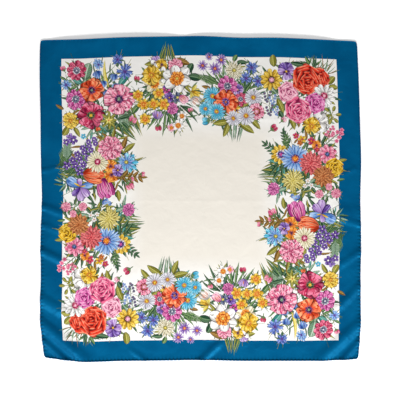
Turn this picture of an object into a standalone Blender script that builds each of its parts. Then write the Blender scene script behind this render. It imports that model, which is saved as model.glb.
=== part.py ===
"""A 90 cm square silk twill scarf with a hand-rolled hem, laid out flat on a surface.

Frame: +Z up, the surface at z = 0, +Y towards the back edge, +X towards the right edge.
The origin is at the middle of the scarf's box, on the surface. Units are metres; the tables are in millimetres.
Five sewn parts: the cloth panel, and one rolled hem along each of its four edges.
"""

import math

import bmesh
import bpy

# Driving sizes
SIDE = 0.900  # finished side of the square
CLOTH_WALL = 0.0012  # thickness that stands for the silk
HEM_DIAMETER = 0.0034  # rolled edge
SEAM_GAP = 0.0003  # clearance between sewn pieces
BORDER_BLUE = (0.0, 0.085, 0.205, 1.0)
FIELD_IVORY = (0.82, 0.79, 0.71, 1.0)
SILK_ROUGHNESS = 0.42

# Mesh density
INTERVALS = 44  # grid intervals along a side
EDGE_CROWDING = 0.45  # 0 spaces the grid evenly, more draws its lines towards the edges
HEM_RESOLUTION = 2  # gives the rolled hem 8 sides

MM = 0.001
HALF = SIDE / 2
HEM_LINE = HALF - HEM_DIAMETER / 2
PANEL_HALF = HALF - HEM_DIAMETER - SEAM_GAP

# How far each edge strays from the straight side of the square, in mm, + to the right and to the back.
# The station runs from -1 to 1: front to back on the left and right edges, left to right on the others.
EDGE_COLUMNS = ("station", "left", "right", "front", "back")
EDGE_ROWS = (
    (-1.00, 9.0, -5.5, 3.0, -2.5),
    (-0.75, -1.0, 0.5, -8.0, -1.0),
    (-0.50, 0.5, 0.0, -5.7, 4.0),
    (-0.25, 0.0, 1.8, -4.5, 6.5),
    (0.00, 3.8, -0.5, -3.0, 8.5),
    (0.25, 1.0, 1.8, -5.4, 3.5),
    (0.50, 0.5, -1.5, -5.4, 3.2),
    (0.75, -1.8, -5.0, -5.0, -1.3),
    (1.00, -1.5, -9.5, -1.0, -5.5),
)

# The largest soft folds: each is a ridge from one point to another, in mm on the cloth.
FOLD_COLUMNS = ("name", "x1", "y1", "x2", "y2", "half_width", "height")
FOLD_ROWS = (
    ("front_left_corner", -482, -318, -308, -466, 24, 8.5),
    ("front_left_tip", -472, -372, -352, -480, 16, 6.0),
    ("front_right_corner", 318, -468, 482, -318, 25, 8.0),
    ("front_right_tip", 376, -482, 474, -366, 16, 5.5),
    ("left_low", -478, -262, -360, -334, 24, 7.0),
    ("left_middle", -480, -130, -370, -184, 20, 6.0),
    ("left_high", -478, -8, -364, -50, 18, 4.5),
    ("left_faint", -476, -62, -376, -98, 18, 3.0),
    ("right_low", 362, -330, 474, -219, 20, 6.0),
    ("right_middle", 372, -200, 478, -128, 20, 4.0),
    ("right_high", 362, -46, 480, -82, 18, 3.5),
    ("right_slack", 362, -30, 480, -44, 30, 3.0),
    ("front_middle", -24, -478, 66, -394, 18, 5.0),
    ("back_left_lift", -420, 462, -60, 468, 60, 6.5),
    ("back_right_lift", -40, 470, 380, 458, 55, 6.0),
    ("left_back_lift", -468, 120, -464, 430, 45, 5.0),
)


def rows_by_name(columns, rows):
    return [dict(zip(columns, row)) for row in rows]


EDGES = rows_by_name(EDGE_COLUMNS, EDGE_ROWS)
FOLDS = rows_by_name(FOLD_COLUMNS, FOLD_ROWS)


def edge_offset(edge, station):
    """The edge's stray at a station, in metres, on a smooth curve through the table's rows."""
    step = EDGES[1]["station"] - EDGES[0]["station"]
    place = (min(max(station, -1.0), 1.0) + 1.0) / step
    i = min(int(place), len(EDGES) - 2)
    part = place - i
    a, b, c, d = (
        EDGES[min(max(k, 0), len(EDGES) - 1)][edge] for k in range(i - 1, i + 3)
    )
    curve = (
        2 * b
        + (c - a) * part
        + (2 * a - 5 * b + 4 * c - d) * part**2
        + (3 * b - a - 3 * c + d) * part**3
    )
    return curve / 2 * MM


def fold_height(x, y):
    """How far the cloth stands off the surface at a point, in metres."""
    height = 0.0
    for fold in FOLDS:
        x1, y1, x2, y2 = (fold[key] * MM for key in ("x1", "y1", "x2", "y2"))
        length = math.hypot(x2 - x1, y2 - y1)
        across_x, across_y = (y1 - y2) / length, (x2 - x1) / length
        along = ((x - x1) * across_y - (y - y1) * across_x) / length
        across = ((x - x1) * across_x + (y - y1) * across_y) / (fold["half_width"] * MM)
        if 0 < along < 1 and abs(across) < 1:
            taper = 1 - (2 * along - 1) ** 4
            height += fold["height"] * MM * (1 - across**2) ** 2 * taper
    return height


def laid(s, t, half):
    """Where a point of the flat square lies, for s and t from -1 to 1 and a square of that half side."""
    x = s * half
    x += (1 - s) / 2 * edge_offset("left", t) + (1 + s) / 2 * edge_offset("right", t)
    y = t * half
    y += (1 - t) / 2 * edge_offset("front", s) + (1 + t) / 2 * edge_offset("back", s)
    return x, y


def crowded(u):
    """Moves an evenly spaced grid line towards the edges, where the folds are."""
    return (1 - EDGE_CROWDING) * u + EDGE_CROWDING * math.sin(u * math.pi / 2)


def stations():
    return [crowded(2 * i / INTERVALS - 1) for i in range(INTERVALS + 1)]


def box_middle():
    """The middle of the laid outline, which the origin is moved to."""
    left = min(laid(-1, t, HALF)[0] for t in stations())
    right = max(laid(1, t, HALF)[0] for t in stations())
    front = min(laid(s, -1, HALF)[1] for s in stations())
    back = max(laid(s, 1, HALF)[1] for s in stations())
    return (left + right) / 2, (front + back) / 2


MIDDLE = box_middle()


def on_surface(s, t, half, lift=0.0):
    """A laid point in the part's frame, with its fold height."""
    x, y = laid(s, t, half)
    return x - MIDDLE[0], y - MIDDLE[1], fold_height(x, y) + lift


def silk(name, colour):
    material = bpy.data.materials.new(name)
    material.use_nodes = True
    shader = material.node_tree.nodes["Principled BSDF"]
    shader.inputs["Base Color"].default_value = colour
    shader.inputs["Roughness"].default_value = SILK_ROUGHNESS
    shader.inputs["Metallic"].default_value = 0.0
    return material


def make_panel(collection, material):
    """The cloth: a grid laid on the surface over its folds, and given its wall upwards."""
    mesh = bpy.data.meshes.new("panel")
    grid = bmesh.new()
    bmesh.ops.create_grid(grid, x_segments=INTERVALS, y_segments=INTERVALS, size=1.0)
    for vertex in grid.verts:
        s, t = crowded(vertex.co.x), crowded(vertex.co.y)
        vertex.co = on_surface(s, t, PANEL_HALF)
    grid.to_mesh(mesh)
    grid.free()
    mesh.shade_smooth()
    mesh.materials.append(material)
    panel = bpy.data.objects.new("panel", mesh)
    collection.objects.link(panel)
    wall = panel.modifiers.new("wall", "SOLIDIFY")
    wall.thickness = CLOTH_WALL
    wall.offset = 1.0
    return panel


def make_hem(collection, material, name, line):
    """A rolled edge: a round tube along one side, resting where the cloth rests."""
    curve = bpy.data.curves.new(name, "CURVE")
    curve.dimensions = "3D"
    curve.bevel_depth = HEM_DIAMETER / 2
    curve.bevel_resolution = HEM_RESOLUTION
    curve.use_fill_caps = True
    spline = curve.splines.new("POLY")
    spline.points.add(len(line) - 1)
    for point, place in zip(spline.points, line):
        point.co = (*place, 1.0)
    curve.materials.append(material)
    hem = bpy.data.objects.new(name, curve)
    collection.objects.link(hem)
    return hem


def hem_line(axis, side, reach):
    """The points down the middle of a hem on one side; reach is its half length beside the square's."""
    shares = [share * reach / HEM_LINE for share in stations()]
    pairs = [(side, t) if axis == "x" else (t, side) for t in shares]
    return [on_surface(s, t, HEM_LINE, HEM_DIAMETER / 2) for s, t in pairs]


def build():
    for leftover in list(bpy.data.objects):
        bpy.data.objects.remove(leftover)
    collection = bpy.data.collections.new("silk_square_scarf")
    bpy.context.scene.collection.children.link(collection)

    field = silk("printed_silk_twill", FIELD_IVORY)
    border = silk("blue_silk_twill", BORDER_BLUE)
    make_panel(collection, field)
    whole = HEM_LINE + HEM_DIAMETER / 2
    between = HEM_LINE - HEM_DIAMETER / 2 - SEAM_GAP
    make_hem(collection, border, "hem_front", hem_line("y", -1, whole))
    make_hem(collection, border, "hem_back", hem_line("y", 1, whole))
    make_hem(collection, border, "hem_left", hem_line("x", -1, between))
    make_hem(collection, border, "hem_right", hem_line("x", 1, between))


build()
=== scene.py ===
"""The looks of a silk square scarf: printed twill with hand-rolled hems, laid out flat, seen from above."""

import math
import random

import bpy
import numpy as np
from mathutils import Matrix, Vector
from mathutils.bvhtree import BVHTree
from mathutils.geometry import delaunay_2d_cdt


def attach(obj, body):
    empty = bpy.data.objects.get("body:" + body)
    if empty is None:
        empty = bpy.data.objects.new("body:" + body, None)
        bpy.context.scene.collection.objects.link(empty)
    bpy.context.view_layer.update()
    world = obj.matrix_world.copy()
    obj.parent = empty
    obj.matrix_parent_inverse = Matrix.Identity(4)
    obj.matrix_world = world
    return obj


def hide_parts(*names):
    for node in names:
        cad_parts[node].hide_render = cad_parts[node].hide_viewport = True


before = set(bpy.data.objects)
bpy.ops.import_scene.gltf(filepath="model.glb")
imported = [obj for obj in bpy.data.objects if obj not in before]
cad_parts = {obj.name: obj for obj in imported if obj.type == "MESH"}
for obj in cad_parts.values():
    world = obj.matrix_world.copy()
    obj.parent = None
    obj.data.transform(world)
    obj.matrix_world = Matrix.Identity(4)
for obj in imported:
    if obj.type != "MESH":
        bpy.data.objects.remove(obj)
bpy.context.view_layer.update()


# ---------------------------------------------------------------------------------------------
# The table the scarf lies on, the light and the camera.
# A white sweep, one long low soft box in front and a broad even fill from above.

def linear(hex_colour):
    """An sRGB hex colour as linear RGBA."""
    parts = [int(hex_colour[i : i + 2], 16) / 255 for i in (1, 3, 5)]
    return (*(c / 12.92 if c <= 0.04045 else ((c + 0.055) / 1.055) ** 2.4 for c in parts), 1.0)


def add(tree, kind, *values, named=(), **settings):
    """Adds a node with its settings; values go to its sockets in order, or by name. Returns its outputs."""
    node = tree.nodes.new(kind)
    for name, value in settings.items():
        setattr(node, name, value)
    used = [socket for socket in node.inputs if socket.enabled]
    by_name = [(node.inputs[name], value) for name, value in dict(named).items()]
    for socket, value in [*zip(used, values), *by_name]:
        value = value[0] if isinstance(value, list) else value
        if isinstance(value, bpy.types.NodeSocket):
            tree.links.new(value, socket)
        else:
            socket.default_value = value
    return [socket for socket in node.outputs if socket.enabled]


TABLE_HALF = 4.0
CAMERA_HEIGHT = 3.0
CAMERA_SPOT = (-0.0014, -0.0028)
VIEW_WIDTH = 1.125
SENSOR_WIDTH = 36.0

sweep_mesh = bpy.data.meshes.new("table")
sweep_mesh.from_pydata([(x * TABLE_HALF, y * TABLE_HALF, 0) for x, y in ((-1, -1), (1, -1), (1, 1), (-1, 1))],
                       [], [(0, 1, 2, 3)])
table = bpy.data.objects.new("table", sweep_mesh)
bpy.context.scene.collection.objects.link(table)
# White seamless paper: matt, and lit up to plain white.
paper = bpy.data.materials.new("white_seamless_paper")
paper.use_nodes = True
paper_shader = paper.node_tree.nodes["Principled BSDF"]
for socket, value in (("Base Color", linear("#FAFAFA")), ("Roughness", 0.9), ("Specular IOR Level", 0.1),
                      ("Emission Color", (1, 1, 1, 1)), ("Emission Strength", 0.32)):
    paper_shader.inputs[socket].default_value = value
sweep_mesh.materials.append(paper)

LAMP_COLUMNS = ("name", "x", "y", "z", "width", "depth", "power")
LAMP_ROWS = (
    ("front_strip_box", 0.1, -2.2, 1.55, 3.2, 0.7, 112.0),
    ("overhead_fill", 0.1, 0.5, 3.1, 3.2, 2.6, 12.0),
)
for row in LAMP_ROWS:
    lamp = dict(zip(LAMP_COLUMNS, row))
    light = bpy.data.lights.new(lamp["name"], "AREA")
    light.shape = "RECTANGLE"
    light.size, light.size_y, light.energy = lamp["width"], lamp["depth"], lamp["power"]
    holder = bpy.data.objects.new(lamp["name"], light)
    holder.location = (lamp["x"], lamp["y"], lamp["z"])
    holder.rotation_euler = (-holder.location).to_track_quat("-Z", "Y").to_euler()
    bpy.context.scene.collection.objects.link(holder)

sky = bpy.data.worlds.new("studio")
sky.use_nodes = True
sky.node_tree.nodes["Background"].inputs["Color"].default_value = (1, 1, 1, 1)
sky.node_tree.nodes["Background"].inputs["Strength"].default_value = 0.25
bpy.context.scene.world = sky
bpy.context.scene.view_settings.view_transform = "Standard"

camera_data = bpy.data.cameras.new("camera")
camera_data.sensor_width = SENSOR_WIDTH
camera_data.lens = SENSOR_WIDTH * CAMERA_HEIGHT / VIEW_WIDTH
camera = bpy.data.objects.new("camera", camera_data)
camera.location = (*CAMERA_SPOT, CAMERA_HEIGHT)
bpy.context.scene.collection.objects.link(camera)
bpy.context.scene.camera = camera


# ---------------------------------------------------------------------------------------------
# How the cloth lies: one square of silk twill, 90 cm finished, spread by hand on the table.
# Its edges bow a little, soft folds run in from the front and sides, and the creases of its
# storage fold still show. Sizes are in millimetres on the cloth, with its middle at 0, 0.

SIDE = 900.0
HALF = SIDE / 2
CLOTH_BASE = 0.00025  # the underside's height over the table, in metres
CLOTH_THICKNESS = 0.0005  # in metres; silk twill is about 0.15 mm
HEM_DIAMETER = 3.4
HEM_LINE = HALF - HEM_DIAMETER / 2
HEM_REACH = HALF - 1.8  # half the length that the stitches are spaced along
STITCHES = 85  # along each side, about a centimetre apart
PUCKER_HEIGHT = 1.4  # how far the cloth stands up between two tight stitches
SWAY = 0.35  # height of the faint waves all over the cloth
CORNER_PULL = 0.009  # the corners are a little rounded: how far each is pulled in, as a share of its place
CORNER_SHARPNESS = 60  # the higher, the less of the edge that rounding takes

# How far each edge strays from the straight side of the square, + to the right and to the back.
# The station runs from -1 to 1: front to back on the left and right edges, left to right on the others.
EDGE_COLUMNS = ("station", "left", "right", "front", "back")
EDGE_ROWS = (
    (-1.00, 9.0, -5.5, 3.0, -2.5),
    (-0.75, -1.0, 0.5, -8.0, -1.0),
    (-0.50, 0.5, 0.0, -5.7, 4.0),
    (-0.25, 0.0, 1.8, -4.5, 6.5),
    (0.00, 3.8, -0.5, -3.0, 8.5),
    (0.25, 1.0, 1.8, -5.4, 3.5),
    (0.50, 0.5, -1.5, -5.4, 3.2),
    (0.75, -1.8, -5.0, -5.0, -1.3),
    (1.00, -1.5, -9.5, -1.0, -5.5),
)

# The soft folds: each is a ridge from one point to another, highest half way along.
FOLD_COLUMNS = ("name", "x1", "y1", "x2", "y2", "half_width", "height")
FOLD_ROWS = (
    ("front_left_corner", -482, -318, -308, -466, 24, 8.5),
    ("front_left_tip", -472, -372, -352, -480, 12, 6.0),
    ("front_right_corner", 318, -468, 482, -318, 25, 8.0),
    ("front_right_tip", 376, -482, 474, -366, 13, 5.5),
    ("left_low", -478, -262, -360, -334, 24, 7.0),
    ("left_middle", -480, -130, -370, -184, 17, 6.0),
    ("left_high", -478, -8, -364, -50, 15, 4.5),
    ("left_faint", -476, -62, -376, -98, 14, 3.0),
    ("left_back", -452, 78, -388, 92, 11, 2.5),
    ("right_low", 362, -330, 474, -219, 18, 6.0),
    ("right_middle", 372, -200, 478, -128, 16, 4.0),
    ("right_high", 362, -46, 480, -82, 15, 3.5),
    ("right_slack", 362, -30, 480, -44, 30, 3.0),
    ("right_back", 392, 66, 440, 88, 10, 3.0),
    ("front_middle", -24, -478, 66, -394, 15, 5.0),
    ("front_left", -206, -416, -140, -466, 11, 3.0),
    ("back_left_lift", -420, 462, -60, 468, 60, 6.5),
    ("back_right_lift", -40, 470, 380, 458, 55, 6.0),
    ("left_back_lift", -468, 120, -464, 430, 45, 5.0),
)

# Creases pressed in by folding and storage: narrow ridges and troughs.
CREASE_ROWS = (
    ("stored_left", -236, 460, -236, -460, 5, 0.9),
    ("stored_left_twin", -226, 455, -228, 250, 4, -0.5),
    ("stored_left_inner", -176, 460, -174, -458, 4, 0.45),
    ("stored_right", 217, 458, 218, -460, 5, 0.9),
    ("stored_right_outer", 274, 455, 273, 250, 4, 0.35),
    ("stored_back", -455, 224, 455, 224, 5, 0.8),
    ("stored_middle", -455, -4, 455, -6, 6, 0.25),
    ("middle_down", 12, 150, 12, -150, 5, 0.35),
    ("centre_slant_low", -4, -105, -64, -164, 6, -0.6),
    ("centre_slant_high", -10, 106, -30, 76, 6, -0.5),
    ("centre_nick", 118, 68, 166, 68, 5, 0.45),
)


def rows_by_name(columns, rows):
    """A table's rows as dictionaries."""
    return [dict(zip(columns, row)) for row in rows]


EDGES = rows_by_name(EDGE_COLUMNS, EDGE_ROWS)
FOLDS = rows_by_name(FOLD_COLUMNS, FOLD_ROWS)
CREASES = rows_by_name(FOLD_COLUMNS, CREASE_ROWS)


def stray(edge, station):
    """How far an edge strays from the true square at a station, in mm, on a smooth curve."""
    value = np.array([row[edge] for row in EDGES])
    place = (np.clip(station, -1, 1) + 1) * (len(EDGES) - 1) / 2
    i = np.minimum(place.astype(int), len(EDGES) - 2)
    part = place - i
    a, b, c, d = (value[np.clip(i + k, 0, len(EDGES) - 1)] for k in (-1, 0, 1, 2))
    return (2 * b + (c - a) * part + (2 * a - 5 * b + 4 * c - d) * part**2
            + (3 * b - a - 3 * c + d) * part**3) / 2


def spread(u, v):
    """Where points of the flat square lie on the table, in mm, before the origin is moved."""
    s, t = u / HALF, v / HALF
    rounded = 1 - CORNER_PULL * (s * t) ** CORNER_SHARPNESS
    x = u * rounded + (1 - s) / 2 * stray("left", t) + (1 + s) / 2 * stray("right", t)
    y = v * rounded + (1 - t) / 2 * stray("front", s) + (1 + t) / 2 * stray("back", s)
    return x, y


def ridge(x, y, fold):
    """The height that one fold or crease gives, in mm."""
    along_x, along_y = fold["x2"] - fold["x1"], fold["y2"] - fold["y1"]
    length = math.hypot(along_x, along_y)
    along = ((x - fold["x1"]) * along_x + (y - fold["y1"]) * along_y) / length**2
    across = ((y - fold["y1"]) * along_x - (x - fold["x1"]) * along_y) / length / fold["half_width"]
    taper = np.clip(1 - (2 * along - 1) ** 4, 0, 1)
    return fold["height"] * np.clip(1 - across**2, 0, 1) ** 2 * taper


def stitch_pull(u, v):
    """How hard the hem's stitches draw the cloth in, and how far between two of them it is, both 0 to 1."""
    inset = HALF - np.maximum(np.abs(u), np.abs(v))
    run = np.where(np.abs(u) > np.abs(v), v, u) / HEM_REACH
    tight = np.clip((60 - v) / 200, 0.15, 1)  # tightest towards the front
    fading = np.exp(-np.maximum(inset - 1.5, 0) / 5)  # within a few millimetres of the edge
    return tight * fading, 0.5 - 0.5 * np.cos(math.pi * STITCHES * (run + 1))


def lie(u, v, lift=0.0):
    """Points of the flat square in metres as they lie, with their folds and creases."""
    x, y = spread(u, v)
    height = sum(ridge(x, y, fold) for fold in FOLDS + CREASES)
    sway = SWAY * np.sin(x / 31 + 1.3 * np.sin(y / 47)) * np.sin(y / 37 + 0.9 * np.sin(x / 53))
    pull, between = stitch_pull(u, v)
    height = np.maximum(height + sway + SWAY, 0) + PUCKER_HEIGHT * pull * between
    return np.stack([x - MIDDLE[0], y - MIDDLE[1], height], axis=-1) / 1000 + [0, 0, lift]


rim = np.linspace(-HALF, HALF, 181)
MIDDLE = (
    (spread(-HALF + 0 * rim, rim)[0].min() + spread(HALF + 0 * rim, rim)[0].max()) / 2,
    (spread(rim, -HALF + 0 * rim)[1].min() + spread(rim, HALF + 0 * rim)[1].max()) / 2,
)


# ---------------------------------------------------------------------------------------------
# The print: dyes screened on to the silk, drawn flower by flower from curves. An ink has three tones,
# as the printer's screens do: its body, the shade at a petal's root, and the light at its rim.

INKS = {
    # name: (body, shade, light)
    "crimson": ("#C01B4B", "#680A30", "#F08CA8"),
    "magenta": ("#C23088", "#6C1050", "#F2A2D0"),
    "orchid": ("#DC68AA", "#96246C", "#FACCE6"),
    "coral": ("#E84C20", "#96230F", "#FCAC7C"),
    "red": ("#DD3A22", "#8A1010", "#FB9C7C"),
    "scarlet": ("#D73C46", "#861022", "#F59290"),
    "pink": ("#E7688E", "#A22256", "#FCCEDA"),
    "pale_pink": ("#F0A9BE", "#B84C78", "#FFE6EC"),
    "flame": ("#F0A074", "#C94F22", "#FFE3C6"),
    "rust": ("#B95E28", "#6E2C14", "#E3A068"),
    "orange": ("#E67F1A", "#A8440C", "#FAC065"),
    "yellow": ("#E2AE1C", "#84590A", "#FCE67C"),
    "lemon": ("#DDC850", "#8D7822", "#F8F0AC"),
    "cream": ("#E9DFB8", "#94855A", "#FFFBEC"),
    "white": ("#F4F0EA", "#96918C", "#FFFFFF"),
    "greyed": ("#CFCDD6", "#5E5A6E", "#FAF9FC"),
    "blue": ("#4C68BA", "#1F2F74", "#A6BAEB"),
    "sky": ("#6E9CD6", "#24529A", "#CADFF6"),
    "cyan": ("#38B0D6", "#10607F", "#B2EAF6"),
    "lilac": ("#A985C4", "#69438E", "#E0CCEC"),
    "purple": ("#5A3590", "#2A1048", "#B59CDC"),
    "violet": ("#7D5AAC", "#38206A", "#CDB6E6"),
    "plum": ("#4E2350", "#220B2A", "#92659A"),
    "slate": ("#4C5672", "#1F2439", "#98A3BC"),
    "olive": ("#7C7A2C", "#3A3B15", "#C4BE66"),
    "bronze": ("#775824", "#39270D", "#BB9350"),
    "leaf": ("#40663A", "#15321B", "#9CB87C"),
    "pine": ("#234830", "#0A2015", "#769670"),
    "sage": ("#6F9274", "#2C4C38", "#C0D2BC"),
    "teal": ("#35857A", "#124640", "#8EC5B8"),
}

# A petal's or leaf's outline: how it widens from its root, and how it narrows to its tip.
CUTS = {
    "round": (0.75, 0.36),
    "fan": (1.0, 0.22),
    "oval": (0.5, 0.5),
    "ray": (0.45, 0.4),
    "lobe": (0.6, 0.55),
    "leaf": (0.65, 0.85),
    "lance": (0.5, 0.9),
    "line": (0.0, 0.0),
}


dice = random.Random(11)  # the small differences between petals


def petal(x, y, turn, length, width, ink, cut="round", arch=0.0, frill=0.0, depth=0.0, dye="petal"):
    """One shape of one ink: its root, its heading in degrees, its size in mm and its outline."""
    return dict(x=x, y=y, turn=turn, length=length, width=width, ink=ink, cut=cut, arch=arch,
                frill=frill, depth=depth, dye=dye)


def ring(count, length, width, ink, start=0.0, root=0.0, wobble=5.0, **more):
    """Petals round a middle, no two quite alike."""
    for k in range(count):
        turn = start + 360 * k / count + dice.uniform(-wobble, wobble)
        angle = math.radians(turn)
        yield petal(root * math.cos(angle), root * math.sin(angle), turn,
                    length * dice.uniform(0.93, 1.05), width * dice.uniform(0.92, 1.08), ink, **more)


def disc(radius, ink):
    """A round middle."""
    return petal(-radius, 0, 0, 2 * radius, 2 * radius, ink, cut="oval", dye="heart")


def hearted(rings, r):
    """A flower's heart, as ragged rings one on another: (ink, share of the flower's radius)."""
    for k, (ink, share) in enumerate(rings):
        if share * r > 3:
            yield from ring(11, share * r, 0.36 * share * r, ink, start=17 * k, cut="ray")
        yield disc(0.82 * share * r, ink)


# A heart is a set of rings, or else one ink.
HEARTS = {
    "dark": (("plum", 0.31), ("sage", 0.14)),
    "ringed": (("greyed", 0.42), ("slate", 0.28), ("greyed", 0.13)),
    "gold": (("orange", 0.29), ("yellow", 0.2)),
    "pollen": (("olive", 0.27), ("lemon", 0.19)),
    "star": (("purple", 0.34), ("rust", 0.15)),
    "ruby": (("crimson", 0.34), ("pale_pink", 0.16)),
    "eye": (("pine", 0.3), ("yellow", 0.17)),
    "tawny": (("bronze", 0.4), ("pale_pink", 0.24)),
    "sunset": (("purple", 0.37), ("orange", 0.24)),
    "ink_blue": (("slate", 0.3), ("blue", 0.15)),
    "peach": (("coral", 0.27), ("lemon", 0.12)),
    "zinnia": (("crimson", 0.62), ("rust", 0.42), ("pale_pink", 0.3)),
    "banded": (("white", 0.52), ("purple", 0.4), ("magenta", 0.2)),
}


def poppy(r, ink, heart):
    yield from ring(4, r, 1.5 * r, ink, start=20, wobble=9, cut="fan", frill=0.05, depth=0.1)
    yield from ring(3, 0.8 * r, 1.15 * r, ink, start=70, wobble=12, cut="fan", frill=0.06, depth=0.05)
    yield from ring(13, 0.42 * r, 0.07 * r, heart[0][0] if heart else "plum", cut="ray")
    yield from hearted(heart, r)


def anemone(r, ink, heart):
    yield from ring(9, r, 0.6 * r, ink, start=5, wobble=8, frill=0.04, depth=0.1)
    yield from ring(8, 0.76 * r, 0.46 * r, ink, start=28, wobble=8, frill=0.04, depth=0.1)
    yield from hearted(heart, r)


def peony(r, ink, heart):
    yield from ring(8, r, 0.82 * r, ink, start=8, wobble=9, cut="fan", frill=0.07, depth=0.2)
    yield from ring(7, 0.8 * r, 0.66 * r, ink, start=30, wobble=9, cut="fan", frill=0.07, depth=0.2)
    yield from ring(6, 0.58 * r, 0.5 * r, ink, start=10, wobble=9, cut="fan", frill=0.07, depth=0.1)
    yield from ring(14, 0.36 * r, 0.06 * r, "plum", cut="ray")
    yield from hearted(heart, r)


def rose(r, ink, heart):
    """Broad petals folded round one another, with a cup a little off the middle."""
    shares = (1.0, 0.83, 0.67, 0.52, 0.38, 0.25, 0.14)
    for k, count in enumerate((6, 5, 5, 4, 4, 3, 2)):
        depth = shares[k + 1] / shares[k] if k < 6 else 0.2
        for part in ring(count, shares[k] * r, (1.25 + 0.06 * k) * shares[k] * r, ink, start=46 * k,
                         wobble=14, cut="fan", frill=0.03, depth=depth - 0.12, dye="rose"):
            part["x"] += 0.025 * k * r
            part["y"] -= 0.05 * k * r
            yield part


def carnation(r, ink, heart):
    layers = ((10, 1.0), (9, 0.82), (8, 0.64), (6, 0.46), (5, 0.3), (3, 0.16))
    for k, (count, share) in enumerate(layers):
        yield from ring(count, share * r, 0.52 * share * r + 0.12 * r, ink, start=23 * k, wobble=10,
                        cut="fan", frill=0.12, depth=0.45)
    yield from hearted(heart, r)


def daisy(r, ink, heart):
    yield from ring(14, 0.96 * r, 0.26 * r, ink, start=0, cut="ray", depth=0.1)
    yield from ring(14, r, 0.22 * r, ink, start=13, cut="ray", depth=0.1)
    yield from hearted(heart, r)


def gazania(r, ink, heart):
    yield from ring(11, r, 0.46 * r, ink, start=0, depth=0.3)
    yield from ring(9, 0.8 * r, 0.3 * r, ink, start=20, cut="lobe", depth=0.25)
    yield from hearted(heart, r)


def aster(r, ink, heart):
    yield from ring(13, r, 0.2 * r, ink, start=6, cut="lobe", wobble=8)
    yield from ring(9, 0.8 * r, 0.16 * r, "purple" if ink == "lilac" else ink, start=17, cut="lobe", wobble=8)
    yield from hearted(heart, r)


def dahlia(r, ink, heart):
    layers = ((16, 1.0), (15, 0.86), (13, 0.72), (11, 0.57), (9, 0.43), (7, 0.29), (4, 0.16))
    for k, (count, share) in enumerate(layers):
        yield from ring(count, share * r, 0.24 * r + 0.12 * share * r, ink, start=13 * k, cut="lobe",
                        depth=1 - 0.42 / (share + 0.3))
    yield from hearted(heart, r)


def chrysanthemum(r, ink, heart):
    layers = ((20, 1.0), (18, 0.85), (16, 0.7), (13, 0.55), (11, 0.41), (8, 0.28), (5, 0.15))
    for k, (count, share) in enumerate(layers):
        yield from ring(count, share * r, 0.15 * r + 0.03 * share * r, ink, start=11 * k, wobble=9, cut="ray",
                        depth=1 - 0.45 / (share + 0.35))
    yield from hearted(heart, r)


def narcissus(r, ink, heart):
    yield from ring(3, r, 0.84 * r, ink, start=30, cut="oval", frill=0.03, depth=0.15)
    yield from ring(3, 0.96 * r, 0.8 * r, ink, start=90, cut="oval", frill=0.03, depth=0.15)
    cup = heart[0][0] if heart else "orange"
    yield from ring(10, 0.5 * r, 0.3 * r, cut="fan", ink=cup, frill=0.08, depth=0.2)
    yield disc(0.32 * r, cup)
    yield from ring(6, 0.24 * r, 0.12 * r, cup, cut="lobe")
    yield disc(0.1 * r, "lemon")


def trumpet(r, ink, heart):
    yield from (petal(0, 0, turn, r, 0.42 * r, "lemon", cut="lobe") for turn in (-70, -35, 35, 70))
    yield petal(-0.1 * r, 0, 0, 1.15 * r, 0.95 * r, ink, cut="fan", frill=0.1, depth=0.1)
    yield from (petal(0, 0, turn, 0.95 * r, 0.3 * r, ink, cut="fan", depth=0.2) for turn in (-14, 14))


def pansy(r, ink, heart):
    second = heart[0][0] if heart else ink
    yield from (petal(0, 0, turn, r, 0.95 * r, ink) for turn in (62, 118))
    yield from (petal(0, 0, turn, 0.9 * r, 0.85 * r, second) for turn in (8, 172))
    yield petal(0, 0.1 * r, -90, r, 1.25 * r, second, cut="fan", frill=0.04)
    yield from (petal(0, 0, turn, 0.42 * r, 0.26 * r, "plum") for turn in (-8, 188, -90))
    yield disc(0.13 * r, "yellow")


def cornflower(r, ink, heart):
    yield from ring(8, r, 0.5 * r, ink, start=10, wobble=10, cut="fan", frill=0.18, depth=0.15)
    yield from ring(6, 0.66 * r, 0.34 * r, ink, start=30, wobble=12, cut="fan", frill=0.18, depth=0.1)
    yield from ring(6, 0.36 * r, 0.14 * r, "purple", start=5, wobble=14, cut="lobe")


def bluebell(r, ink, heart):
    yield petal(-0.6 * r, 0, 0, 0.6 * r, 0.4 * r, "pine", cut="lobe", dye="leaf")
    for k, turn in enumerate((56, -56, 34, -34, 12, -12, 0)):
        yield petal(-0.35 * r, 0, turn, (1.0 + 0.06 * k) * r, 0.44 * r, ("sky", ink)[k % 3 > 0], cut="leaf",
                    arch=0.3 * (1, -1)[k % 2], frill=0.06, depth=0.15)


def tulip(r, ink, heart):
    """A side view of a closed cup: petals that bow out and meet again at the tip, with pale flames."""
    for along, away, turn, length, width, arch in (
        (0.1, 0.05, 16, 0.92, 0.34, 0.5), (0.1, -0.05, -16, 0.9, 0.34, -0.5), (0.02, 0, 2, 1.02, 0.6, 0),
        (0, 0.03, 9, 0.98, 0.42, 0.5), (0, -0.03, -9, 0.93, 0.42, -0.5), (0, 0, 0, 0.84, 0.4, 0.06),
    ):
        yield petal(along * r, away * r, turn, length * r, width * r, ink, cut="lobe", arch=arch, depth=0.05)
    for along, away, turn, share in ((0.12, 0, 0, 0.6), (0.2, 0.1, 6, 0.56), (0.2, -0.1, -6, 0.5),
                                     (0.25, 0.19, 8, 0.46), (0.25, -0.2, -8, 0.44), (0.35, 0.05, 2, 0.5)):
        yield petal(along * r, away * r, turn, share * r, 0.045 * r,
                    "pale_pink" if ink == "magenta" else "flame", cut="lance", arch=1.5 * (away > 0) - 0.7)


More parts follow.
